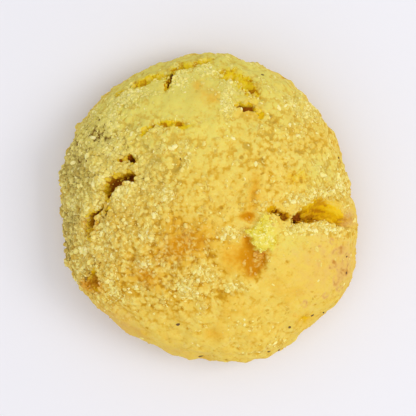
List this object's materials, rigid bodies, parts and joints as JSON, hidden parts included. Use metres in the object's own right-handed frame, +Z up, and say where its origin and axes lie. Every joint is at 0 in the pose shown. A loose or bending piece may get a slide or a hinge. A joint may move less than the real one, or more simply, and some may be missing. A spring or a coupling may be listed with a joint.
{
  "type": "nankhatai",
  "caption": "Round, domed nankhatai: a thick shortbread biscuit with a craggy golden crust that split open as it baked, and a flat foot to rest on.",
  "frame": {"origin": "on the plane of the flat foot, below the middle of the outline's box", "axes": "+Z up through the crown, +X towards the wide crack that opens at the edge, +Y towards the shallow crack along the opposite rim, a quarter turn anticlockwise from +X seen from above"},
  "size_m": [0.0646, 0.0674, 0.0265],
  "materials": {
    "crust": "matte"
  },
  "bodies": {
    "root": {"nankhatai": "crust"}
  },
  "joints": []
}
